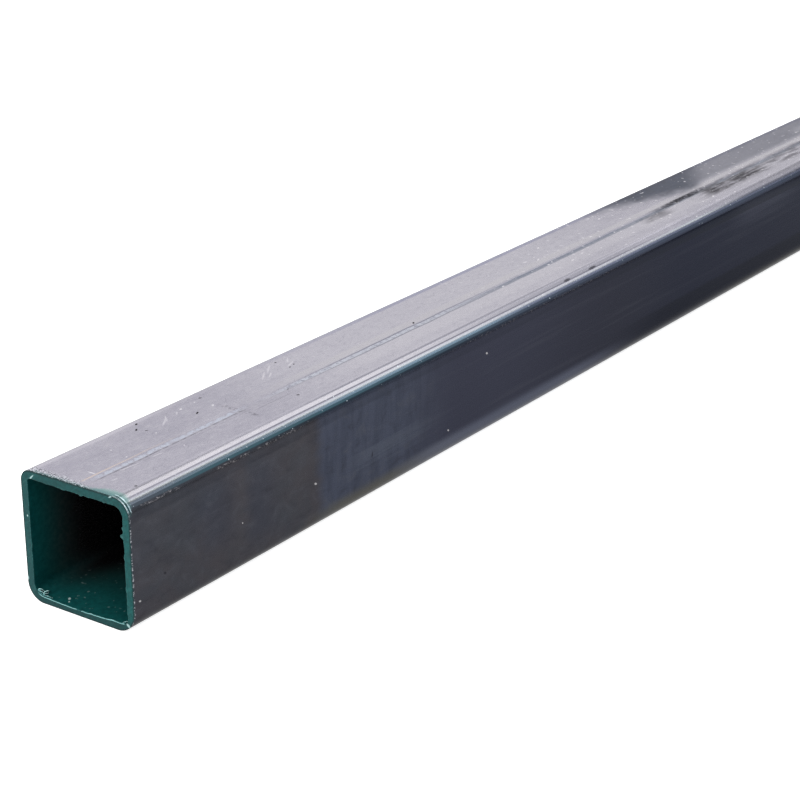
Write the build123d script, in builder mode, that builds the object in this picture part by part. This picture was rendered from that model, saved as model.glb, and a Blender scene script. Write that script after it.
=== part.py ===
"""Square steel tube, seam welded from strip, rolled square and sawn to a stock length.

The tube lies on its bottom face. X runs along the length, Y across the section and Z up, and the
origin is under the middle of the tube, on the plane that it rests on. The weld seam runs along the
top wall, a little to the -Y side of its middle. Outside it shows as a narrow band that was planed
smooth, and inside as the low trimmed bead that is left in such a tube. All sizes are in millimetres.
"""

import os

from build123d import *

# Section
side = 25.4  # outside width and height
wall = 1.65  # wall thickness, 16 gauge
corner_radius = 3.6  # outside radius of the rolled corners

# Length
length = 914.4  # stock length
edge_break = 0.15  # bevel left round the outside of each sawn end

# Weld seam in the top wall
seam_offset = -1.75  # middle of the seam, from the middle of the top wall
scarf_width = 1.6  # band that the outside planing tool leaves
scarf_depth = 0.06  # how far the middle of the band lies below the face
bead_width = 1.2  # weld bead that is left inside
bead_height = 0.2  # how far the bead stands below the inner face

inner_side = side - 2 * wall
inner_radius = corner_radius - wall
outer_face_z = side
inner_face_z = side - wall
near_end = Plane.YZ.offset(-length / 2)


def seam_strip(width, face_z, bulge):
    """Returns the sliver between a wall's face and an arc over the seam, drawn on the near end.

    The sliver is as wide as given, and its arc stands off face_z by bulge, downwards."""
    left = (seam_offset - width / 2, face_z)
    right = (seam_offset + width / 2, face_z)
    middle = (seam_offset, face_z - bulge)
    with BuildSketch(near_end) as strip:
        with BuildLine():
            Line(left, right)
            ThreePointArc(right, middle, left)
        make_face()
    return strip.sketch


with BuildPart() as square_tube:
    # Rolled section, drawn on the near end and run along the tube
    with BuildSketch(near_end):
        with Locations((0, side / 2)):
            RectangleRounded(side, side, corner_radius)
            RectangleRounded(inner_side, inner_side, inner_radius, mode=Mode.SUBTRACT)
    extrude(amount=length)

    # Sawn ends, with the sharp outside edge broken
    sawn_faces = square_tube.faces().filter_by(Axis.X)
    outside_edges = [edge for face in sawn_faces for edge in face.outer_wire().edges()]
    chamfer(outside_edges, length=edge_break)

    # Outside of the weld, planed to a shallow hollow band
    extrude(seam_strip(scarf_width, outer_face_z, scarf_depth), amount=length, mode=Mode.SUBTRACT)

    # Inside of the weld, a low bead along the whole length
    extrude(seam_strip(bead_width, inner_face_z, bead_height), amount=length)

square_tube.part.label = "square_tube"

os.makedirs("parts", exist_ok=True)
export_step(square_tube.part, "parts/square_tube.step")
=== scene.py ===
"""Looks of a sawn length of square steel tube: its surface, its saw burr, its paint and a pale studio.

The row frame is in metres, with the tube along X. On the tube's surface a place is "along", from the
painted near end, and "girth", round the outside from the middle of the top wall, first towards the -Y
side. Both are kept in the mesh as a flat map of the strip that the tube was rolled from, and the
finish is laid out on that map in millimetres.
"""
import math
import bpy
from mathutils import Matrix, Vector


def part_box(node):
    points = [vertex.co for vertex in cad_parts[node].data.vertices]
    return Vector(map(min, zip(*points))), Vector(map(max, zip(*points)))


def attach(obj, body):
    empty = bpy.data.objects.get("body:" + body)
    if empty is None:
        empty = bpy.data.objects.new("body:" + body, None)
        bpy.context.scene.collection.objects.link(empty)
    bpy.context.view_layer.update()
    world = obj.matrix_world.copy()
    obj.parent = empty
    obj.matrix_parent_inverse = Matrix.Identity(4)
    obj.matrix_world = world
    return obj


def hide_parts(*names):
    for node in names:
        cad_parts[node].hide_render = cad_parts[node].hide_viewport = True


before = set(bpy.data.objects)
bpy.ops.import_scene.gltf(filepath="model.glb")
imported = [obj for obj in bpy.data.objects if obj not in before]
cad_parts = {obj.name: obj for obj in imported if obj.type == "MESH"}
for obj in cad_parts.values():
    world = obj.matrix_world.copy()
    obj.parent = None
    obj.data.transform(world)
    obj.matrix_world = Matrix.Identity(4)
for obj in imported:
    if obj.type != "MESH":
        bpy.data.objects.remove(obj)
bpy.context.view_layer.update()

from types import SimpleNamespace

import bpy
import numpy as np
from mathutils import Matrix, Vector, noise

MM = 0.001
ENDLESS = 100000.0
STEEL_NODE = "square_tube"
STRIP_MAP = "strip"
DEPTH_LAYER = "wall_depth"
# Depth codes of the saw slivers: their body, and the edge that carries a painted highlight
SLIVER_DEPTH = 2.0
HIGHLIGHT_EDGE_DEPTH = 3.0
# Shares of a studio tone kept as the steel's colour, on the top and on the sides; the sides' darker tones
# paint their shade in
TOP_SHARE = 0.44
SIDE_SHARE = 0.56


# Section of the tube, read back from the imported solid

def read_section():
    """Measures the tube's side, wall, corners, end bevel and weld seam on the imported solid."""
    low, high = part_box(STEEL_NODE)
    side = high.z - low.z
    points = [v.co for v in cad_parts[STEEL_NODE].data.vertices]
    hair = 0.01 * MM
    flat_half = max(abs(p.y) for p in points if p.z - low.z < hair)
    over_flat = [p for p in points if abs(p.y) < flat_half + hair]
    levels = sorted({round((p.z - low.z) / hair) * hair for p in over_flat})
    bevel, wall = levels[1:3]
    under_roof = [p for p in over_flat if side / 2 < p.z - low.z < side - wall - hair]
    bead_bottom = min(under_roof, key=lambda p: p.z)
    return SimpleNamespace(
        near=low.x, length=high.x - low.x, side=side, centre=low.z + side / 2,
        corner=side / 2 - flat_half, flat=2 * flat_half, bevel=bevel, wall=wall,
        seam=-bead_bottom.y, bead=side - wall - (bead_bottom.z - low.z))


tube = read_section()

# Places round the girth, from the middle of the top wall
top_edge = tube.flat / 2
side_top = top_edge + math.pi / 2 * tube.corner
side_bottom = side_top + tube.flat
half_girth = side_bottom + math.pi / 2 * tube.corner + tube.flat / 2

# Weld seam, as wide as in the solid
scarf_width = 1.6 * MM
scarf_depth = 0.06 * MM
bead_width = 1.2 * MM

# How the rolled corners differ from their nominal radius: +Y bottom, +Y top, -Y top, -Y bottom
outer_corners = [1.0, 0.68, 1.0, 1.2]
inner_corners = [0.92, 0.3, 1.0, 0.62]

# How deep the fine relief goes
rolled_depth = 0.03 * MM
rough_depth = 0.03 * MM
sawn_depth = 0.02 * MM
ragged_depth = 0.09 * MM
lip_bevel = 0.15 * MM
worn_depth = 0.45 * MM
worn_length = 8 * MM

# Burrs on the inner lip of the near end, in mm: girth of the outside there, height, half width
lip_burrs = [
    (17.9, 0.75, 0.50),
    (16.5, 0.35, 0.40),
    (21.4, 0.14, 0.50),
    (27.0, 0.16, 0.35),
    (-6.2, 0.12, 0.40),
    (-2.4, 0.15, 0.50),
    (3.3, 0.12, 0.40),
    (6.9, 0.16, 0.30),
    (-18.5, 0.10, 0.60),
    (-26.0, 0.12, 0.50),
    (41.5, 0.10, 0.60),
    (45.8, 0.12, 0.40)]

# How fine the mesh is
flat_step = 0.35 * MM
seam_step = 0.13 * MM
corner_steps = 14
first_step = 0.08 * MM
longest_step = 14 * MM
step_growth = 1.3
face_step = 0.12 * MM


# Mesh of the tube

def shares_of_flat(is_top):
    """Shares of a flat wall at which the section has points, closer together over the weld seam."""
    count = round(tube.flat / flat_step)
    shares = [k / count for k in range(1, count)]
    if not is_top:
        return shares
    seam_share = (tube.seam + tube.flat / 2) / tube.flat
    reach = (scarf_width / 2 + 3 * seam_step) / tube.flat
    fine_count = round(2 * reach * tube.flat / seam_step)
    fine = [seam_share - reach + 2 * reach * k / fine_count for k in range(fine_count + 1)]
    coarse = [s for s in shares if abs(s - seam_share) > reach + 0.5 * flat_step / tube.flat]
    return sorted(coarse + fine)


def outline(half, radii):
    """Points round a rounded square and their outward directions, from the middle of the bottom wall.

    They run up the +Y side, over the top and down the -Y side. Each square has as many points."""
    corners = []
    for quarter, radius in enumerate(radii):
        signs = np.array([(1, -1), (1, 1), (-1, 1), (-1, -1)][quarter])
        turns = math.radians(90) * (quarter - 1 + np.arange(corner_steps + 1) / corner_steps)
        outward = np.stack([np.cos(turns), np.sin(turns)], 1)
        corners.append((signs * (half - radius) + radius * outward, outward))
    points, outwards = [], []
    for quarter in range(5):
        before, after = corners[(quarter - 1) % 4], corners[quarter % 4]
        shares = shares_of_flat(quarter == 2)
        if quarter == 0:
            shares = [s for s in shares if s >= 0.5]
        if quarter == 4:
            shares = [s for s in shares if s < 0.5]
        for share in shares:
            points.append(before[0][-1] + share * (after[0][0] - before[0][-1]))
            outwards.append(before[1][-1])
        if quarter < 4:
            points.extend(after[0])
            outwards.extend(after[1])
    return np.array(points), np.array(outwards)


def steps_along(start):
    """Distances from the near end for the rings of a long wall: fine at both ends, coarse between."""
    steps, place = [], start
    while place < tube.length / 2:
        steps.append(place)
        place += min(first_step * step_growth ** len(steps), longest_step)
    mirrored = [tube.length - s for s in reversed(steps)]
    return np.array(steps + [tube.length / 2] + mirrored)


def waves(along, girth, length, width, seed):
    """Smooth noise over the strip, from -1 to 1, with waves of that length and width."""
    places = zip((along / length).ravel(), (girth / width).ravel())
    return np.array([noise.noise(Vector((a, g, seed))) for a, g in places]).reshape(along.shape)


def hump(value, middle, half_width):
    """1 at the middle, falling smoothly to 0 from half_width on."""
    return np.clip(1 - ((value - middle) / half_width) ** 2, 0, 1)


def relief(along, girth, depth):
    """How far each point is sunk into the wall, and how far it is pushed in from its end."""
    from_end = np.minimum(along, tube.length - along)
    across = girth - tube.seam
    outside = depth < 0.5 * tube.bevel
    inside = depth > 0.95 * tube.wall

    rolled = rolled_depth * (1 + waves(along, girth, 60 * MM, 11 * MM, 3.1))
    scarf = scarf_depth * hump(across, 0, scarf_width / 2)
    sunk = np.where(outside, rolled + scarf, 0)

    uneven = 1 + 0.3 * waves(along, 0 * girth, 6 * MM, MM, 8.2)
    bead = tube.bead * hump(across, 0, bead_width / 2) * uneven
    rough_wall = rough_depth * waves(along, girth, 5 * MM, 2 * MM, 5.5)
    sunk += np.where(inside, bead + rough_wall, 0)

    fine_teeth = waves(0 * along, girth, MM, 0.45 * MM, 1.7)
    wide_teeth = waves(0 * along, girth, MM, 1.5 * MM, 2.9)
    lip = np.where((depth > 0.9 * tube.wall) & (from_end < 0.3 * MM), 1.0, 0)
    sunk += ragged_depth * lip * (fine_teeth + 0.8 * wide_teeth)
    for girth_there, height, half_width in lip_burrs:
        sunk += lip * height * MM * hump(girth, girth_there * MM, half_width * MM) * (along < 1 * MM)
    over_bottom = (np.abs(girth) - half_girth) * np.sign(girth)
    worn_lip = worn_depth * hump(over_bottom, 2 * MM, 9.5 * MM) * np.clip(1 - along / worn_length, 0, 1)
    sunk -= worn_lip * depth / tube.wall

    on_face = (depth >= tube.bevel) & (from_end < 0.01 * MM)
    sawn = sawn_depth * (1 + waves(3 * depth, girth, MM, 0.7 * MM, 6.4))
    lip_proud = np.clip((tube.wall - depth) / lip_bevel, 0, 1)
    pushed = np.where(on_face, sawn * lip_proud, 0)
    return sunk, pushed


def tube_grid():
    """Places and strip coordinates of the whole surface, as rings round the tube.

    They run along the outside to the near end, over it, back inside and over the far end."""
    outer, outward = outline(tube.side / 2, [share * tube.corner for share in outer_corners])
    inner_radius = tube.corner - tube.wall
    inner, _ = outline(tube.side / 2 - tube.wall, [share * inner_radius for share in inner_corners])
    lengths = np.linalg.norm(np.roll(outer, -1, 0) - outer, axis=1)
    from_bottom = np.concatenate([[0], np.cumsum(lengths[:-1])])
    on_top_wall = outer[:, 1] > tube.side / 2 - 0.001 * MM
    girth_round = from_bottom - np.interp(0, -outer[on_top_wall, 0], from_bottom[on_top_wall])
    count = len(girth_round)

    outer_walls = steps_along(tube.bevel)
    inner_walls = steps_along(0.25 * MM)
    face = np.arange(tube.bevel, tube.wall - 0.1 * MM, face_step)
    on_bevel = [0.35 * tube.bevel]
    lip_depths = tube.wall + np.array([-0.05, 0.03, 0.0]) * MM
    lip_along = np.array([0.0, 0.05, 0.14]) * MM
    end_depth = np.concatenate([on_bevel, face, lip_depths])
    end_along = np.concatenate([on_bevel, 0 * face, lip_along])
    along = np.concatenate([outer_walls[::-1], end_along, inner_walls, tube.length - end_along[::-1]])
    depth = np.concatenate([0 * outer_walls, end_depth, 0 * inner_walls + tube.wall, end_depth[::-1]])

    along, depth = np.repeat(along[:, None], count, 1), np.repeat(depth[:, None], count, 1)
    girth = np.repeat(girth_round[None, :], len(along), 0)
    share = depth[..., None] / tube.wall
    section = outer[None] * (1 - share) + inner[None] * share
    sunk, pushed = relief(along, girth, depth)
    section = section - sunk[..., None] * outward[None]
    x = tube.near + np.where(along < tube.length / 2, along + pushed, along - pushed)
    places = np.stack([x, section[..., 0], section[..., 1] + tube.centre], -1)
    return places, along, girth, depth


def saw_curls():
    """The torn slivers that the saw left in the mouth: places, faces, strip coordinates and depths.

    Each is a closed strip along a bow, that twists as it goes. Its depth is beyond the wall's."""
    floor_level = tube.wall - 0.2 * MM
    curls = [
        # start (along, y, height over the worn lip), bow, end, width, twist
        ((0.1, 10.6, 0.4), (0.2, 9.8, 0.6), (0.3, 8.8, 0.2), 0.8, 40),
        ((0.2, 9.5, 0.1), (0.7, 9.1, 0.5), (1.3, 8.6, 0.6), 0.7, 70),
        ((0.1, 10.7, 0.6), (0.4, 10.0, 1.2), (0.8, 9.3, 0.5), 0.5, 120),
        ((0.1, 9.3, 0.1), (0.2, 8.6, 0.5), (0.5, 8.1, 0.8), 0.4, 160),
        ((0.1, 9.0, 0.1), (0.2, 8.0, 0.3), (0.2, 7.0, 0.1), 0.25, 60),
        ((0.1, -9.6, 0.2), (0.3, -10.3, 0.5), (0.1, -10.9, 1.0), 0.4, 140)]
    steps = 12
    half_thick = 0.03
    lowest = 0.04
    first_turn = 40
    flat_share = 0.4
    taper_from, taper_over = 0.12, 0.84
    upper_side = [(share, half_thick) for share in (-1, -0.4, 0.4, 1)]
    loop = upper_side + [(share, -half_thick) for share, _ in reversed(upper_side)]
    count = len(loop)
    places, faces, strips, depths = [], [], [], []
    for start, bow, end, width, twist in curls:
        start, bow, end = Vector(start), Vector(bow), Vector(end)
        first = len(places)
        for k in range(steps + 1):
            t = k / steps
            middle = start * (1 - t) ** 2 + bow * (2 * t * (1 - t)) + end * t ** 2
            ahead = (bow - start) * (1 - t) + (end - bow) * t
            turn = math.radians(twist * t + first_turn)
            half = 0.5 * width * math.sin(math.pi * (taper_from + taper_over * t))
            flat = flat_share * math.cos(turn)
            spread = half * Vector((flat, flat, math.sin(turn)))
            upright = spread.cross(ahead).normalized()
            for share, thick in loop:
                corner = middle + share * spread
                corner.z = max(corner.z, lowest)
                corner += thick * upright
                places.append((tube.near + corner.x * MM, corner.y * MM, floor_level + corner.z * MM))
                strips.append((corner.x * MM, half_girth - corner.y * MM))
                # One edge of each sliver gets the depth code of its painted highlight
                depths.append(HIGHLIGHT_EDGE_DEPTH if share == 1 else SLIVER_DEPTH)
        last = first + count * steps
        for k in range(steps):
            here = first + count * k
            for a in range(count):
                b = (a + 1) % count
                faces.append((here + a, here + b, here + count + b, here + count + a))
        for a in range(count // 2 - 1):
            cap = (a, a + 1, count - 2 - a, count - 1 - a)
            faces.append(tuple(first + c for c in reversed(cap)))
            faces.append(tuple(last + c for c in cap))
    return places, faces, strips, depths


def build_tube():
    """The whole piece: the tube with its slivers, its strip map and its depth layer."""
    places, along, girth, depth = tube_grid()
    rings, count = along.shape
    index = np.arange(rings * count).reshape(rings, count)
    ahead = np.roll(index, -1, 0)
    quads = np.stack([index, ahead, np.roll(ahead, -1, 1), np.roll(index, -1, 1)], -1).reshape(-1, 4)
    map_along, map_girth = along.ravel()[quads], girth.ravel()[quads]
    wraps = map_girth.max(1) - map_girth.min(1) > half_girth
    all_round = girth[0, -1] - girth[0, 0] + np.linalg.norm(places[0, -1] - places[0, 0])
    map_girth[wraps] += np.where(map_girth[wraps] < 0, all_round, 0)

    curl_places, curl_faces, curl_strips, curl_depths = saw_curls()
    curl_quads = np.array(curl_faces) + rings * count
    curl_map = np.array(curl_strips)[np.array(curl_faces)]
    mesh = bpy.data.meshes.new("steel_tube")
    all_places = places.reshape(-1, 3).tolist() + curl_places
    mesh.from_pydata(all_places, [], quads.tolist() + curl_quads.tolist())
    mesh.shade_smooth()
    layer = mesh.uv_layers.new(name=STRIP_MAP)
    tube_map = np.stack([map_along, map_girth], -1)
    layer.uv.foreach_set("vector", np.concatenate([tube_map, curl_map]).astype(np.float32).ravel())
    shares = mesh.attributes.new(DEPTH_LAYER, "FLOAT", "POINT")
    depths = np.concatenate([depth.ravel() / tube.wall, curl_depths])
    shares.data.foreach_set("value", depths.astype(np.float32))
    piece = bpy.data.objects.new("steel_tube", mesh)
    bpy.context.scene.collection.objects.link(piece)
    return piece


# Shader maths

class Value:
    """A socket of a finish. Sums on it add Math nodes."""

    def __init__(self, finish, socket):
        self.finish = finish
        self.socket = socket

    def maths(self, operation, first, second=0.0):
        return self.finish.node("ShaderNodeMath", {"operation": operation}, {0: first, 1: second})

    def __add__(self, other):
        return self.maths("ADD", self, other)

    __radd__ = __add__

    def __mul__(self, other):
        return self.maths("MULTIPLY", self, other)

    __rmul__ = __mul__

    def __sub__(self, other):
        return self.maths("SUBTRACT", self, other)

    def __rsub__(self, other):
        return self.maths("SUBTRACT", other, self)

    def __truediv__(self, other):
        return self.maths("DIVIDE", self, other)

    def __abs__(self):
        return self.maths("ABSOLUTE", self)

    def at_least(self, other):
        return self.maths("MAXIMUM", self, other)


class Finish:
    """One material, built node by node."""

    def __init__(self, name):
        self.material = bpy.data.materials.new(name)
        self.material.use_nodes = True
        self.tree = self.material.node_tree
        self.shader = self.tree.nodes["Principled BSDF"]
        self.strip = self.node("ShaderNodeUVMap", {"uv_map": STRIP_MAP})
        self.space = self.node("ShaderNodeTexCoord", output=3)

    def node(self, kind, settings=None, inputs=None, output=0):
        """Adds a node, sets its settings, then fills its sockets with numbers, colours or Values."""
        made = self.tree.nodes.new(kind)
        for name, value in (settings or {}).items():
            setattr(made, name, value)
        for name, value in (inputs or {}).items():
            self.feed(made.inputs[name], value)
        return Value(self, made.outputs[output])

    def feed(self, socket, value):
        if isinstance(value, Value):
            self.tree.links.new(value.socket, socket)
        else:
            socket.default_value = value

    def place(self, axis, low, high):
        """Place on the strip in mm, between two limits: along it for axis 0, round its girth for axis 1."""
        spot = self.node("ShaderNodeMapping", {"vector_type": "TEXTURE"}, {
            "Vector": self.strip, "Location": (0, axis * low * MM, 0),
            "Rotation": (0, 0, axis * math.pi / 2), "Scale": ((high - low) * MM, 1, 1)})
        ramp = self.node("ShaderNodeTexGradient", {"gradient_type": "LINEAR"}, {"Vector": spot}, output=1)
        return ramp * (high - low) + low

    def noise(self, where, size, shift, turn, detail=2.0, rough=0.5, bend=0.0):
        """Noise from 0 to 1 over some coordinates, in patches of that size along each axis, in metres."""
        spot = self.node("ShaderNodeMapping", {"vector_type": "TEXTURE"}, {
            "Vector": where, "Location": shift, "Rotation": turn, "Scale": size})
        return self.node("ShaderNodeTexNoise", None, {
            "Vector": spot, "Scale": 1.0, "Detail": detail, "Roughness": rough, "Distortion": bend})

    def strip_noise(self, length, width, seed, detail=2.0, rough=0.5, bend=0.0, angle=0.0):
        """Noise over the strip, with patches of that length and width in mm, turned by degrees."""
        size = (length * MM, width * MM, 1.0)
        turn = (0, 0, math.radians(angle))
        return self.noise(self.strip, size, (0, 0, -seed), turn, detail, rough, bend)

    def fine_noise(self, size, detail=2.0, rough=0.5):
        """Noise in space, with patches of that size in mm."""
        return self.noise(self.space, (size * MM,) * 3, (0, 0, 0), (0, 0, 0), detail, rough)

    def rise(self, value, start, end, low=0.0, high=1.0):
        """Goes smoothly from low, where value is start, to high, where it is end."""
        return self.node("ShaderNodeMapRange", {"interpolation_type": "SMOOTHSTEP"}, {
            "Value": value, "From Min": start, "From Max": end, "To Min": low, "To Max": high})

    def band(self, value, low, high, soft):
        """1 between low and high, falling to 0 over soft outside them."""
        half = (high - low) / 2
        return self.rise(abs(value - (low + high) / 2), half + soft, half)

    def span(self, value, low, high, fade_in, fade_out):
        """Rises from 0 over fade_in from low on, and falls to 0 over fade_out up to high."""
        return self.rise(value, low, low + fade_in) * self.rise(value, high, high - fade_out)

    def mix(self, share, first, second, blend="MIX"):
        """Goes from the first colour to the second."""
        return self.node("ShaderNodeMix", {"data_type": "RGBA", "blend_type": blend}, {
            0: share, 6: first, 7: second}, output=2)

    def marks(self, places, on_end=False):
        """1 on some short scratches, from their start, end and half width in mm.

        They are on the strip, as along and girth, or on the end face, as y and z."""
        soft_edge = 0.15
        whole = None
        for (first, second), (last, other), half_width in places:
            angle = math.atan2(other - second, last - first)
            middle = ((first + last) / 2 * MM, (second + other) / 2 * MM)
            reach = half_width + soft_edge
            size = ((math.hypot(last - first, other - second) / 2 + reach) * MM, reach * MM)
            spot = self.node("ShaderNodeMapping", {"vector_type": "TEXTURE"}, {
                "Vector": self.space if on_end else self.strip,
                "Location": (0, *middle) if on_end else (*middle, 0),
                "Rotation": (angle, 0, 0) if on_end else (0, 0, angle),
                "Scale": (ENDLESS, *size) if on_end else (*size, 1)})
            one = self.node("ShaderNodeTexGradient", {"gradient_type": "SPHERICAL"}, {"Vector": spot},
                            output=1)
            whole = one if whole is None else whole.at_least(one)
        return self.rise(whole, 0.0, 0.55)


def light_of(red, green, blue, share=1.0):
    """A colour as a screen shows it, from 0 to 255, as light by the usual screen curve, times a share."""
    darkest = 10.3
    linear = [c / 3294.6 if c <= darkest else ((c / 255 + 0.055) / 1.055) ** 2.4 for c in (red, green, blue)]
    return tuple(share * c for c in linear) + (1.0,)


def on_top(red, green, blue):
    """The steel's own colour where the top wall looks like this in the studio."""
    return light_of(red, green, blue, TOP_SHARE)


def on_side(red, green, blue):
    """Base colour from how a dark side wall looks in the studio: the side's shade is painted into it."""
    return light_of(red, green, blue, SIDE_SHARE)


def girth_at(height):
    """Girth, in mm, of a place on the -Y side wall at that height over the floor, in mm."""
    return side_top / MM + (tube.side - tube.corner) / MM - height


# Finish of the tube

def top_wall(f, along, girth):
    """Top wall colour: weld seam, stains, scratches and painted light, and how matt the stains are."""
    patches = f.strip_noise(28.6, 9.1, 4.0, 4.0, 0.6, 0.4)
    fleck = f.fine_noise(0.77, 3.0, 0.7)
    dashes = f.strip_noise(1.1, 1.25, 2.0, 2.0, 0.6)
    wobble = f.strip_noise(8.3, ENDLESS, 7.0)
    seam = girth + 0.5 * (wobble - 0.5)
    grit = f.fine_noise(0.42, 2.0, 0.7)

    mottle = f.strip_noise(2.2, 1.25, 5.0, 5.0, 0.75)
    tone = f.mix(f.rise(patches, 0.3, 0.7), on_top(171, 169, 182), on_top(187, 185, 196))
    tone = f.mix(0.65 * f.rise(along, 40, 75) * f.rise(along, 190, 140), tone, on_top(200, 198, 207))
    speckles = [
        # noise, where it starts, where it is full, share, tone
        (mottle, 0.50, 0.75, 0.50, on_top(206, 204, 210)),
        (mottle, 0.50, 0.28, 0.45, on_top(148, 146, 160)),
        (grit, 0.55, 0.75, 0.35, on_top(214, 212, 219)),
        (grit, 0.45, 0.25, 0.35, on_top(140, 138, 152)),
        (fleck, 0.62, 0.80, 0.40, on_top(206, 204, 212))]
    for speckle, start, full, share, speckle_tone in speckles:
        tone = f.mix(f.rise(speckle, start, full, 0.0, share), tone, speckle_tone)
    beside_seam = f.band(girth, -1.1, 0.2, 0.6) * f.rise(along, 38, 75)
    tone = f.mix(f.rise(patches, 0.25, 0.6, 0.2, 0.7) * beside_seam, tone, on_top(200, 198, 203))
    pale_lane = f.band(girth, 3.2, 5.6, 1.6) * f.span(along, 66, 220, 15, 8)
    tone = f.mix(0.3 * pale_lane, tone, on_top(214, 212, 218))
    for angle, seed in ((32, 1.0), (-24, 6.0), (58, 11.0)):
        scratch = f.rise(f.strip_noise(4.0, 0.28, seed, angle=angle), 0.66, 0.74)
        scratch = scratch * f.rise(patches, 0.42, 0.6, 0.15)
        tone = f.mix(0.35 * scratch, tone, on_top(232, 230, 236))
    scuff = f.rise(f.strip_noise(4.0, 0.28, 16.0, angle=-40), 0.68, 0.76)
    tone = f.mix(0.4 * scuff, tone, on_top(112, 110, 122))

    # Weld seam near the painted end: tan thread and a pale dashed band
    near_seam = f.span(along, 2, 46, 4, 6)
    tone = f.mix(0.8 * near_seam * f.band(seam, 1.05, 1.75, 0.25) * f.rise(dashes, 0.4, 0.54, 0.15),
                 tone, on_top(202, 209, 224))
    tone = f.mix(near_seam * f.band(seam, 2.1, 2.3, 0.2) * f.rise(dashes, 0.62, 0.42, 0.2),
                 tone, on_top(124, 123, 136))
    thread = f.band(seam, 0.24, 0.42, 0.16) * f.rise(along, 34, 2) * f.rise(along, 1.2, 2.4)
    tone = f.mix(thread * f.rise(dashes, 0.2, 0.5, 0.4, 0.85), tone, on_top(224, 207, 196))

    # Weld seam farther on: two dark edges with dashes between, which close up into one dark band
    far_seam = f.rise(along, 44, 64)
    closing = f.rise(along, 100, 142)
    edge = f.band(seam, 0.85, 1.0, 0.2).at_least(f.band(seam, 2.2, 2.45, 0.2)) * (1 - 0.7 * closing)
    tone = f.mix(f.rise(along, 44, 90, 0.0, 0.9) * edge, tone, on_top(124, 126, 142))
    dashed = f.band(seam, 1.3, 2.0, 0.3) * far_seam * (1 - closing)
    dash_tone = f.mix(f.rise(dashes, 0.38, 0.54), on_top(146, 151, 167), on_top(204, 210, 222))
    tone = f.mix(0.7 * dashed, tone, dash_tone)
    filled = f.band(seam, 1.5, 2.35, 0.5) * closing
    tone = f.mix(filled * f.rise(dashes, 0.3, 0.62, 0.7), tone, on_top(110, 119, 139))
    burnt = f.strip_noise(22, ENDLESS, 5.0, 2.0, 0.6)
    burnt_far = f.rise(burnt, 0.62, 0.7) * f.rise(along, 250, 270)
    black = f.band(seam, 0.7, 1.8, 0.7) * f.span(along, 194, 234, 18, 18).at_least(burnt_far)
    black = black * f.rise(dashes, 0.32, 0.56, 0.4)
    tone = f.mix(black, tone, on_top(48, 48, 56))

    # Stain across the wall, faint lines, and smudges far along
    stain_place = along + 0.9 * (f.strip_noise(ENDLESS, 1.7, 8.0) - 0.5)
    stain = f.band(stain_place, 42.3, 42.8, 0.5) * f.span(girth, -4.5, 7, 3, 2)
    hook = f.marks([((42.3, 4.6), (42.8, 6.2), 0.12)])
    stained = (0.7 * stain * f.rise(fleck, 0.46, 0.58)).at_least(0.7 * hook)
    tone = f.mix(stained, tone, on_top(112, 110, 121))
    raised = f.band(girth, 0.35, 0.5, 0.12).at_least(f.band(girth, -0.15, -0.05, 0.1))
    raised = raised * f.span(along, 27, 43, 3, 3)
    tone = f.mix(0.3 * raised * f.rise(fleck, 0.42, 0.55), tone, on_top(216, 216, 226))
    faint = f.band(girth, 3.95, 4.1, 0.14) * f.span(along, 43, 62, 3, 12)
    faint = faint.at_least(0.5 * f.band(girth, 3.1, 3.2, 0.12) * f.span(along, 4, 60, 6, 20))
    tone = f.mix(0.5 * faint, tone, on_top(140, 138, 150))
    cloud = f.strip_noise(6.2, 2.9, 6.0, 4.0, 0.65)
    smear = f.strip_noise(9.0, 1.3, 14.0, 4.0, 0.65)
    smudge = 0.55 * f.span(along, 188, 205, 6, 6) * f.band(girth, 2.8, 4.4, 1.6)
    smudge = smudge.at_least(0.9 * f.span(along, 218, 237, 7, 7) * f.band(girth, 3.0, 5.2, 1.8))
    smudge = smudge.at_least(0.85 * f.span(along, 231, 253, 7, 8) * f.band(girth, 2.9, 5.2, 1.6))
    smudge = smudge * f.rise(smear, 0.62, 0.42, 0.45)
    grime = f.rise(along, 208, 230) * f.band(girth, 1.6, 5.5, 2.4) * f.rise(smear, 0.64, 0.38)
    tone = f.mix(0.7 * grime, tone, on_top(100, 98, 107))
    tone = f.mix(smudge, tone, on_top(52, 50, 56))
    # A darker, bluer patch on the +Y half of the top wall far along, with broken edges
    bluish = f.rise(along - 3.0 * girth + 20 * (cloud - 0.5), 209, 236)
    bluish = bluish * f.band(girth - 2.0 * f.span(along, 202, 232, 8, 10), -14, -3.6, 3.2)
    bluish = bluish * f.rise(along + 1.6 * girth, 216, 232, 1.0, 0.6)
    broken = f.rise(f.strip_noise(100, 20, 1.5, 1.0), 0.6, 0.5)
    bluish = bluish * broken.at_least(f.rise(along, 300, 260))
    bluish_tone = f.mix(f.rise(mottle, 0.35, 0.65), on_top(34, 46, 66), on_top(52, 66, 90))
    tone = f.mix(0.95 * bluish, tone, bluish_tone)

    # Far corner of the top: a painted highlight near the end, and painted shade, darker and bluer, farther on
    far_corner = f.rise(girth, -9.2, -10.0)
    tone = f.mix(0.35 * far_corner * f.rise(along, 60, 15), tone, on_top(232, 230, 238))
    tone = f.mix(far_corner * f.rise(along, 30, 130), tone, (0.63, 0.66, 0.80, 1), "MULTIPLY")

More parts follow.
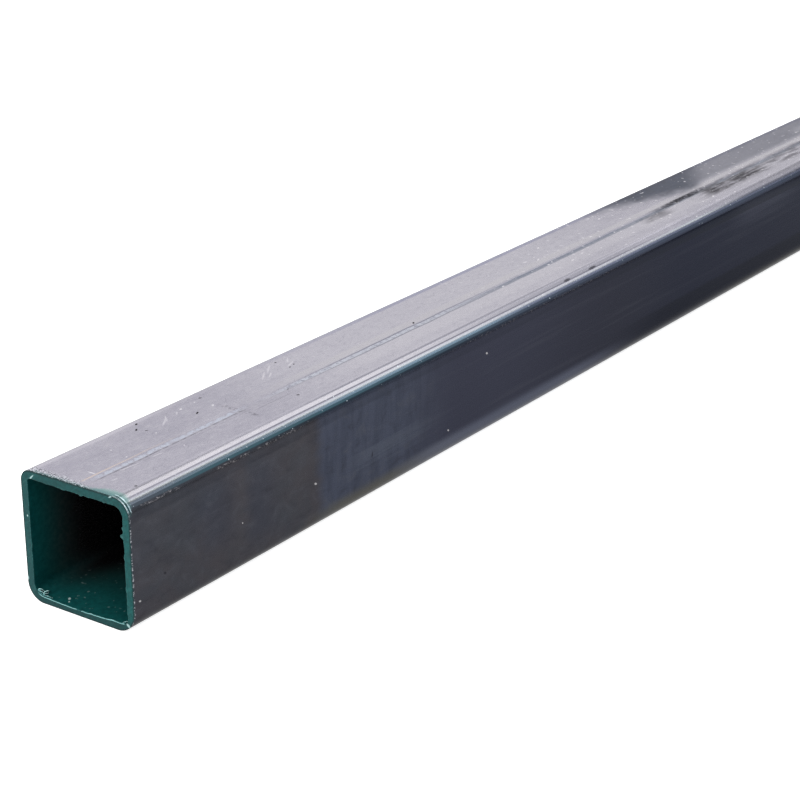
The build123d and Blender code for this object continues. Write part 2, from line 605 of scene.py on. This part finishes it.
    dark_marks = [
        ((26.2, -9.2), (26.7, -9.5), 0.13),
        ((24.1, -7.3), (24.8, -7.8), 0.10),
        ((36.7, -3.7), (37.5, -4.1), 0.11),
        ((5.5, 9.25), (5.7, 9.35), 0.14),
        ((43.0, -8.5), (43.3, -8.3), 0.12),
        ((54.8, 5.6), (55.1, 5.8), 0.12),
        ((65.7, -4.7), (65.9, -4.8), 0.10),
        ((67.4, -5.1), (67.6, -5.2), 0.08),
        ((66.0, -8.6), (66.2, -8.6), 0.09),
        ((56.2, 2.2), (56.4, 2.2), 0.08),
        ((25.1, -6.0), (25.5, -5.7), 0.01),
        ((100.4, 0.3), (101.0, -0.1), 0.14),
        ((142.6, 10.9), (145.2, 10.8), 0.28),
        ((153.0, 10.9), (156.2, 10.8), 0.28)]
    dark_mark = f.marks(dark_marks)
    tone = f.mix(dark_mark, tone, on_top(50, 47, 52))
    bright_marks = [
        ((36.6, -7.5), (37.0, -7.8), 0.15),
        ((41.5, -3.9), (41.9, -4.2), 0.16),
        ((131.0, 2.4), (131.6, 2.2), 0.20),
        ((149.6, 2.4), (150.3, 2.2), 0.20),
        ((151.0, -1.2), (152.4, -1.8), 0.14),
        ((158.4, -5.8), (159.6, -6.4), 0.14),
        ((155.0, 5.2), (156.6, 4.8), 0.14),
        ((5.4, -1.7), (5.4, 0.3), 0.08),
        ((219.0, 7.0), (220.4, 6.4), 0.20),
        ((14.7, -4.8), (14.9, -4.9), 0.07),
        ((14.0, -0.5), (14.2, -0.6), 0.07),
        ((25.3, -3.6), (25.5, -3.7), 0.08),
        ((23.9, 4.3), (24.1, 4.2), 0.06),
        ((40.8, -7.8), (41.0, -7.9), 0.08)]
    tone = f.mix(0.85 * f.marks(bright_marks), tone, on_top(236, 234, 240))
    faint_marks = [
        ((57.0, -4.6), (61.0, -7.2), 0.12),
        ((58.8, -4.4), (61.6, -6.0), 0.08),
        ((60.5, -6.2), (64.5, -8.8), 0.12),
        ((65.6, -5.2), (69.0, -6.4), 0.14),
        ((67.4, -6.6), (69.6, -8.4), 0.08),
        ((34.2, -6.4), (35.4, -7.4), 0.08),
        ((28.4, -4.8), (32.5, -7.3), 0.10),
        ((30.5, -5.4), (32.7, -8.0), 0.07),
        ((8.5, 2.6), (14.3, 3.2), 0.04),
        ((16.4, 3.1), (19.6, 3.3), 0.04),
        ((4.8, 4.4), (6.3, 4.6), 0.05)]
    tone = f.mix(0.5 * f.marks(faint_marks), tone, on_top(236, 234, 240))
    sparkle = f.rise(f.fine_noise(1.2, 1.0), 0.69, 0.73) * f.rise(along, 80, 190, 0.08, 1.0)
    tone = f.mix(0.8 * sparkle, tone, on_top(242, 240, 246))
    matt = (0.7 * black.at_least(smudge)).at_least(0.35 * grime)
    matt = matt.at_least(0.35 * bluish).at_least(dark_mark)
    return tone, matt


def top_corner(f, along, girth, tone):
    """The rolled corner between the top wall and the -Y side, over the top wall's colour.

    Places on it are given by how far it has turned, in degrees from the top wall."""
    turned = (girth - top_edge / MM) * math.degrees(MM / tube.corner)
    # Painted highlight: how strongly the corner's bright band shows, fading away from the near end
    highlight_fade = f.rise(along, 150, 35)
    # Painted highlight where the corner starts to turn
    tone = f.mix(0.22 * f.band(turned, 0, 15, 3), tone, on_top(216, 214, 224))
    # Painted shade: a dark line across the start of the turn
    line = f.band(turned, 9, 14, 3) * f.rise(along, 45, 65, 0.15) * f.rise(along, 150, 105)
    tone = f.mix(0.8 * line, tone, on_top(138, 138, 151))
    # Painted shade: the corner's bright band dimmed farther along
    dimmed_highlight = f.band(turned, 6, 31, 5) * f.rise(along, 30, 130) * f.rise(along, 150, 195, 1.0, 0.1)
    tone = f.mix(0.75 * dimmed_highlight, tone, on_top(140, 139, 150))
    # Painted highlight: the bright band where the corner mirrors the key light
    bright = f.band(turned, 15.5, 26.5, 3) * highlight_fade
    tone = f.mix(0.35 * bright, tone, on_top(250, 246, 249))
    # Painted highlight: a pale line lower on the corner, weaker farther along
    pale = f.band(turned, 38, 43, 4) * (1 - 0.45 * f.span(along, 80, 200, 45, 25))
    pale = pale * f.rise(along, 240, 200)
    pale_tone = f.mix(f.rise(turned, 36, 41), on_top(198, 203, 215), on_top(246, 252, 255))
    tone = f.mix(0.85 * pale, tone, pale_tone)
    # Painted shade over the pale line's place, far along
    tone = f.mix(0.6 * f.band(turned, 38, 50, 5) * f.rise(along, 200, 232), tone, on_top(122, 125, 142))
    # Painted shade: a thin dark line between the bright band and the pale line
    second = f.band(turned, 29.7, 32, 2) * f.rise(along, 0, 50, 0.6) * f.rise(along, 195, 160)
    tone = f.mix(second, tone, on_top(120, 120, 133))
    return turned, tone


def side_wall(f, along, girth):
    """Colour of a side wall, bluer than the top and darker than it as painted shade."""
    height = girth_at(0) - girth
    patches = f.strip_noise(20, 14.3, 1.0, 4.0, 0.6, 0.6)
    streaks = f.strip_noise(50, 1.7, 2.0, 3.0, 0.6)
    upright = f.strip_noise(2.9, 20, 3.0, 3.0, 0.6)
    edge = along + 4.0 * (f.strip_noise(30, 3.3, 9.0) - 0.5)

    tone = f.mix(f.rise(patches, 0.35, 0.65), on_side(70, 68, 73), on_side(64, 66, 73))
    drift = along + 7 * (patches - 0.5)
    blue_patch = (f.span(drift, 14, 30, 7, 8) * f.span(height, 5, 24, 7, 6)).at_least(
        f.span(drift, 28, 43, 5, 9) * f.span(height, 3, 24, 5, 7))
    tone = f.mix(0.6 * blue_patch, tone, on_side(57, 61, 73))
    bluish = f.mix(f.rise(upright, 0.35, 0.65), on_side(62, 67, 82), on_side(70, 75, 91))
    tone = f.mix(0.25 * f.span(edge, 47.5, 53, 2.5, 1.5), tone, on_side(66, 63, 69))
    tone = f.mix(f.rise(edge, 50.2, 54.4), tone, bluish)
    cloudy = f.strip_noise(4.5, 3.3, 12.0, 4.0, 0.65, 0.5)
    tone = f.mix(f.rise(cloudy, 0.5, 0.72, 0.0, 0.35), tone, on_side(84, 86, 94))
    tone = f.mix(f.rise(cloudy, 0.5, 0.28, 0.0, 0.35), tone, on_side(44, 45, 53))
    # Painted shade: the side gets darker farther from the near end
    tone = f.mix(f.rise(along, 74, 100), tone, on_side(56, 58, 73))
    tone = f.mix(f.rise(along, 110, 165), tone, on_side(46, 48, 61))
    tone = f.mix(f.rise(along, 160, 200), tone, on_side(37, 41, 57))
    light_area = f.span(along, 214, 262, 16, 20) * f.span(height, 15.5, 27, 5, 3)
    tone = f.mix(0.7 * light_area * f.rise(streaks, 0.25, 0.6, 0.3), tone, on_side(66, 69, 83))
    farther = f.mix(f.rise(patches, 0.38, 0.62), on_side(52, 55, 67), on_side(68, 71, 83))
    tone = f.mix(f.rise(along, 250, 300), tone, farther)
    pale_streak = f.band(height, 8.2, 12.2, 1.5) * f.span(along, 58, 96, 12, 24)
    pale_streak = pale_streak * f.rise(streaks, 0.4, 0.62)
    tone = f.mix(0.55 * pale_streak, tone, on_side(82, 88, 102))
    tone = f.mix(0.15 * f.rise(streaks, 0.5, 0.75), tone, on_side(84, 86, 96))
    olive = f.rise(height, 5.4, 2.8) * f.span(along, 44, 112, 16, 30)
    tone = f.mix(0.7 * olive, tone, on_side(98, 96, 86))
    # Painted highlight: a reflection of the bright floor, low on the side from about 72 mm on
    floor_reflection = f.rise(height, 5.8, 3.6) * f.span(along, 72, 176, 20, 36)
    tone = f.mix(0.75 * floor_reflection, tone, on_side(100, 105, 122))
    shaded = f.band(height, 3.2, 7.0, 1.2) * f.rise(along, 155, 190) * f.rise(along, 300, 262)
    tone = f.mix(0.75 * shaded, tone, on_side(24, 28, 40))
    # Painted shade: near black low on the side and its bottom corner, far along
    tone = f.mix(0.8 * f.rise(height, 3.6, 2.6) * f.rise(along, 205, 230), tone, on_side(12, 14, 20))
    marks = [
        ((69.0, girth_at(10.6)), (68.8, girth_at(9.4)), 0.12),
        ((8.0, girth_at(9.0)), (8.4, girth_at(8.7)), 0.12)]
    tone = f.mix(0.65 * f.marks(marks), tone, on_side(30, 32, 40))
    specks = [
        ((50.7, girth_at(10.4)), (51.1, girth_at(10.2)), 0.14),
        ((29.3, girth_at(10.4)), (29.4, girth_at(10.3)), 0.03),
        ((109.0, girth_at(18.9)), (109.4, girth_at(18.7)), 0.14),
        ((1.4, girth_at(6.2)), (1.7, girth_at(6.1)), 0.08),
        ((95.0, girth_at(6.4)), (95.3, girth_at(6.2)), 0.10)]
    return f.mix(0.9 * f.marks(specks), tone, on_side(190, 188, 190))


def corner_sheen(f, along, turned, steel):
    """Lower half of the rolled corner over the steel: painted pale blue sheen, teal, painted shade, rubbed
    marks.
    """
    # Painted sheen: a pale blue reflection across the corner as it turns towards the side
    painted_sheen_band = f.band(turned, 45.5, 50, 4)
    by_mouth = f.rise(along, 20, 6)
    sheen = f.mix(f.rise(along, 150, 30), on_side(128, 133, 156), on_side(132, 154, 168))
    sheen = f.mix(f.span(along, 40, 130, 25, 25), sheen, on_side(140, 164, 182))
    sheen = f.mix(by_mouth, sheen, on_side(142, 152, 166))
    steel = f.mix(0.8 * painted_sheen_band, steel, sheen)
    teal = f.band(turned, 54, 59, 4)
    teal_tone = f.mix(f.rise(along, 150, 40), on_side(82, 90, 106), on_side(68, 101, 111))
    steel = f.mix(0.8 * teal, steel, f.mix(by_mouth, teal_tone, on_side(84, 92, 102)))
    shade = f.band(turned, 61, 66, 3) * f.rise(along, 12, 55, 0.05)
    shade_tone = f.mix(f.rise(along, 85, 190), on_side(34, 44, 54), on_side(78, 82, 98))
    steel = f.mix(0.7 * shade, steel, shade_tone)
    dotted = f.rise(f.fine_noise(0.67, 1.0), 0.73, 0.77) * f.band(turned, 30, 62, 4)
    steel = f.mix(0.8 * dotted, steel, on_side(214, 222, 228))
    rubbed_here = f.span(along, 2.5, 14, 1.5, 2).at_least(f.span(along, 22, 33, 2, 2))
    rubbed_here = rubbed_here.at_least(0.8 * f.span(along, 34, 49, 1, 5))
    rubbed_here = rubbed_here.at_least(0.35 * f.rise(along, 80, 110) * f.rise(along, 185, 165))
    rubbed_grain = f.strip_noise(0.8, 0.4, 2.0, 4.0, 0.8)
    rubbed = f.band(turned + 4 * by_mouth, 68, 71.5, 4.5) * f.rise(rubbed_grain, 0.5, 0.64) * rubbed_here
    steel = f.mix(0.8 * rubbed, steel, on_side(176, 170, 172))
    # Painted shade under the corner, deeper far along
    under_corner = f.rise(along, 140, 200, 0.25, 0.6) * f.band(turned, 78, 98, 9)
    steel = f.mix(under_corner, steel, on_side(34, 38, 48))
    return steel


def green_paint(f, girth, wall_depth, on_end, inside, ragged, spray, saw_lines):
    """Colour of the paint on the sawn face and inside the mouth."""
    green = f.mix(f.rise(ragged, 0.3, 0.7), light_of(0, 52, 53), light_of(6, 66, 66))
    green = f.mix(f.rise(spray, 0.58, 0.72, 0.0, 0.5), green, light_of(40, 100, 98))
    green = f.mix(f.rise(spray, 0.42, 0.3, 0.0, 0.5), green, light_of(0, 30, 32))
    green = f.mix(f.rise(saw_lines, 0.55, 0.75, 0.0, 0.2) * on_end, green, light_of(40, 96, 94))
    green = f.mix(f.band(girth, 14, 33, 2) * on_end, green, (0.8, 1.28, 1.24, 1), "MULTIPLY")
    low_part = f.rise(abs(girth), 34, 39)
    green = f.mix(0.3 * low_part * on_end, green, light_of(0, 34, 35))
    # Painted light: the inner bottom wall, lit through the mouth, gets a lighter green than the rest of the
    # paint
    lit_green = f.mix(f.rise(ragged, 0.3, 0.7), light_of(14, 74, 74), light_of(22, 94, 93))
    green = f.mix(low_part * inside, green, lit_green)
    # Painted shade along the outer rim of the sawn face
    rim = f.rise(wall_depth + 0.3 * (spray - 0.5), 0.3, 0.12)
    green = f.mix(0.7 * rim * on_end, green, light_of(0, 26, 28))
    return green


def mill_steel():
    """Bare mill steel with its scale, weld seam and scratches, painted green on the near end."""
    f = Finish("mill_steel")
    along = f.place(0, 0, 1000)
    girth = f.place(1, -80, 80)
    wall_depth = f.node("ShaderNodeAttribute", {"attribute_name": DEPTH_LAYER}, output=2)

    drawn = f.strip_noise(33, 0.2, 9.0, 4.0, 0.65)
    grain = f.fine_noise(0.4, 3.0, 0.6)
    ragged = f.fine_noise(0.83, 4.0, 0.7)

    # Bare outside: top wall, its corners, and the sides and bottom, darker than the top as painted shade
    top, matt = top_wall(f, along, girth)
    turned, top = top_corner(f, along, girth, top)
    sides = side_wall(f, along, girth)
    beside_top = f.rise(girth, 11.3, 12.3).at_least(f.rise(girth, -13.4, -14.6))
    steel = f.mix(beside_top, top, sides)
    steel = corner_sheen(f, along, turned, steel)
    lines = f.rise(drawn, 0.35, 0.75) * f.rise(abs(girth), 12.5, 10.5, 0.006, 0.1)
    steel = f.mix(lines, steel, light_of(150, 150, 158))

    # Where it is painted, sawn or torn
    half_length = tube.length / MM / 2
    sawn = f.rise(abs(along - half_length), half_length - 0.12, half_length - 0.04)
    outside = 1 - f.rise(wall_depth, 0.02, 0.08)
    on_end = f.rise(along, 0.12, 0.04)
    inside = f.rise(wall_depth, 0.93, 0.98)
    paint_reach = 4 + 26 * f.rise(girth, 31, 40) + 12 * f.rise(girth, -30, -38) + 14 * f.rise(girth, -38, -47)
    paint_reach = paint_reach + 9 * f.band(girth, -34, -17, 4)
    mouth = inside * f.rise(along / paint_reach + 0.5 * (ragged - 0.5), 1.15, 0.1)
    mist_reach = 0.35 + 1.5 * f.band(girth, 7.0, 10.0, 4.0)
    spray = f.fine_noise(0.25, 4.0, 0.8)
    mist = outside * f.rise(along - 3.0 * (spray - 0.45), mist_reach + 0.6, mist_reach - 0.6)
    mist = mist * f.band(girth, -9, 13, 1.5)
    paint = on_end.at_least(mouth) * f.rise(wall_depth, 1.6, 1.4)
    flakes = f.fine_noise(0.33, 4.0, 0.75)
    torn_reach = f.rise(girth, 6, -3, 0.34, 1.9)
    torn = outside * f.rise(along / torn_reach + 1.6 * (ragged - 0.5), 1.1, 0.5)
    torn = torn * f.rise(abs(girth), 36, 34) * (1 - 0.6 * f.band(girth, 4, 10, 2))
    torn_light = torn * f.rise(flakes, 0.52, 0.57)
    torn_dark = torn * f.rise(flakes, 0.48, 0.43)
    arc = f.band(girth, 9.3, 13.2, 0.6) * outside
    arc_light = arc * f.band(along, 0.75, 0.85, 0.12).at_least(f.band(along, 0.05, 0.2, 0.08))
    arc_dark = arc * f.band(along, 0.4, 0.55, 0.12)

    saw_lines = f.noise(f.space, (1.0, 1.0, 0.38 * MM), (0, 0, 0), (math.radians(-38), 0, 0))
    green = green_paint(f, girth, wall_depth, on_end, inside, ragged, spray, saw_lines)
    bare_cut = f.mix(f.rise(saw_lines, 0.35, 0.65), light_of(120, 118, 120), light_of(160, 158, 160))
    inner_steel = f.mix(f.rise(ragged, 0.35, 0.65), light_of(48, 46, 48), light_of(62, 60, 62))

    base = f.mix(f.rise(wall_depth, 0.05, 0.12), steel, inner_steel)
    base = f.mix(sawn * (1 - outside), base, bare_cut)
    mist_tone = f.mix(f.rise(along, 2.2, 0.2), on_top(150, 186, 182), on_top(84, 142, 140))
    base = f.mix(0.85 * mist, base, mist_tone)
    base = f.mix(paint, base, green)
    # Painted highlights on the inner lip of the mouth: a bright line along the bottom, faint dots elsewhere
    lip = f.rise(wall_depth, 0.91, 0.95) * f.rise(along, 0.16, 0.05)
    lip_shine = lip * f.rise(abs(girth), 37.0, 38.5) * (1 - f.band(girth, -47.5, -46.7, 0.2))
    base = f.mix(0.75 * lip_shine * f.rise(spray, 0.3, 0.55, 0.5), base, light_of(150, 205, 205))
    base = f.mix(0.15 * lip * (1 - lip_shine) * f.rise(spray, 0.48, 0.62), base, light_of(120, 180, 176))
    nicks = [
        ((10.6, 23.5), (9.4, 24.7), 0.02),
        ((-8.15, 24.95), (-8.8, 25.3), 0.02),
        ((-10.9, 1.75), (-11.3, 1.45), 0.2),
        ((11.55, 16.5), (11.55, 16.4), 0.04),
        ((12.5, 4.4), (12.5, 4.0), 0.12)]
    nicked = f.marks(nicks, on_end=True) * on_end * f.rise(wall_depth, 1.3, 1.1)
    base = f.mix(0.75 * nicked, base, light_of(166, 196, 196))
    dust = f.fine_noise(0.9)
    specks = f.marks([((2.0, -43.3), (2.3, -43.1), 0.16), ((1.2, -43.9), (1.4, -43.8), 0.02)]).at_least(
        0.3 * f.rise(dust, 0.66, 0.72) * f.rise(abs(girth), 36, 40))
    base = f.mix(specks * inside, base, light_of(196, 214, 212))
    curl = f.rise(wall_depth, 1.4, 1.6)
    # Painted highlight along one edge of each saw sliver
    curl_highlight = f.rise(wall_depth, 2.35, 2.8)
    curl_tone = f.mix(f.rise(flakes, 0.42, 0.58), light_of(14, 46, 50), light_of(84, 136, 136))
    base = f.mix(curl, base, curl_tone)
    base = f.mix(0.85 * curl_highlight, base, light_of(176, 212, 210))
    base = f.mix(0.85 * torn_dark, base, light_of(30, 40, 46))
    base = f.mix(f.rise(girth, 14, 4, 0.55, 0.8) * torn_light, base, light_of(172, 174, 180))
    base = f.mix(0.8 * arc_dark * f.rise(spray, 0.35, 0.55, 0.5), base, light_of(20, 34, 40))
    base = f.mix(0.85 * arc_light * f.rise(spray, 0.4, 0.6, 0.35), base, light_of(190, 206, 212))
    f.feed(f.shader.inputs["Base Color"], base)
    f.feed(f.shader.inputs["Metallic"], 0.9 - 0.55 * paint)
    f.feed(f.shader.inputs["Specular Tint"], (0.5, 0.5, 0.5, 1))
    f.feed(f.shader.inputs["Specular IOR Level"], 0.35)
    roughness = 0.20 + 0.12 * drawn + 0.1 * (grain - 0.5) + 0.2 * paint + 0.45 * matt
    f.feed(f.shader.inputs["Roughness"], roughness)
    bump_height = 0.002 * drawn + 0.003 * grain + 0.012 * (1 - outside) * sawn * saw_lines
    bump = f.node("ShaderNodeBump", None, {"Strength": 1.0, "Distance": MM, "Height": bump_height})
    f.feed(f.shader.inputs["Normal"], bump)
    return f.material


# Studio

def pale_floor():
    """A level pale floor, which glows a little so that it stays as light as the photo's background."""
    reach = 6.0
    mesh = bpy.data.meshes.new("studio_floor")
    mesh.from_pydata([(-reach, -reach, 0), (reach, -reach, 0), (reach, reach, 0), (-reach, reach, 0)], [],
                     [(0, 1, 2, 3)])
    f = Finish("pale_floor")
    f.feed(f.shader.inputs["Base Color"], (0.65, 0.65, 0.65, 1))
    f.feed(f.shader.inputs["Roughness"], 0.9)
    f.feed(f.shader.inputs["Emission Color"], (1, 1, 1, 1))
    f.feed(f.shader.inputs["Emission Strength"], 0.8)
    mesh.materials.append(f.material)
    piece = bpy.data.objects.new("studio_floor", mesh)
    bpy.context.scene.collection.objects.link(piece)


def softbox(name, azimuth, elevation, width, height, power, colour=(1, 1, 1)):
    """An area light that faces the tube from that direction, in degrees from +X and up from the floor."""
    distance = 3.0
    lit_place = Vector((tube.near + 0.13, 0, tube.centre))
    data = bpy.data.lights.new(name, "AREA")
    data.shape = "RECTANGLE"
    data.size = width
    data.size_y = height
    data.energy = power
    data.color = colour
    lamp = bpy.data.objects.new(name, data)
    bpy.context.scene.collection.objects.link(lamp)
    turn, rise = math.radians(azimuth), math.radians(elevation)
    direction = Vector((math.cos(turn) * math.cos(rise), math.sin(turn) * math.cos(rise), math.sin(rise)))
    lamp.location = lit_place + distance * direction
    lamp.rotation_euler = (-direction).to_track_quat("-Z", "Y").to_euler()
    lamp.visible_camera = False


def studio():
    """White surroundings and six soft panels round the near end."""
    world = bpy.data.worlds.new("studio")
    world.use_nodes = True
    background = world.node_tree.nodes["Background"]
    background.inputs["Color"].default_value = (1, 1, 1, 1)
    background.inputs["Strength"].default_value = 0.45
    bpy.context.scene.world = world
    softbox("back_panel", 62, 22, 5.0, 2.2, 78, (1.0, 0.985, 1.0))
    softbox("key", 1, 42, 2.1, 1.5, 26)
    softbox("front_fill", -45, 22, 2.6, 1.6, 16, (0.92, 1.0, 1.06))
    softbox("left_panel", 140, 28, 3.0, 1.4, 28)
    softbox("end_fill", -152, 36, 3.6, 1.8, 44)
    softbox("overhead", -95, 62, 2.5, 2.5, 36)


def camera():
    """The photo's viewpoint, fitted to the edges of the tube, in widths of the tube from its near end."""
    data = bpy.data.cameras.new("camera")
    data.sensor_width = 36.0
    data.lens = 96.36
    eye = bpy.data.objects.new("camera", data)
    bpy.context.scene.collection.objects.link(eye)
    near_end = Vector((tube.near, 0, tube.centre))
    place = near_end + tube.side * Vector((-9.4319, -9.428, 6.2677))
    sight = Vector((0.7575, 0.5406, -0.3659))
    roll = Matrix.Rotation(math.radians(-0.21), 4, "Z")
    aim = sight.to_track_quat("-Z", "Y").to_matrix().to_4x4()
    eye.matrix_world = Matrix.Translation(place) @ aim @ roll
    bpy.context.scene.camera = eye


steel_tube = build_tube()
steel_tube.data.materials.append(mill_steel())
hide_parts(STEEL_NODE)
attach(steel_tube, "root")
pale_floor()
studio()
camera()
bpy.context.scene.view_settings.view_transform = "Standard"
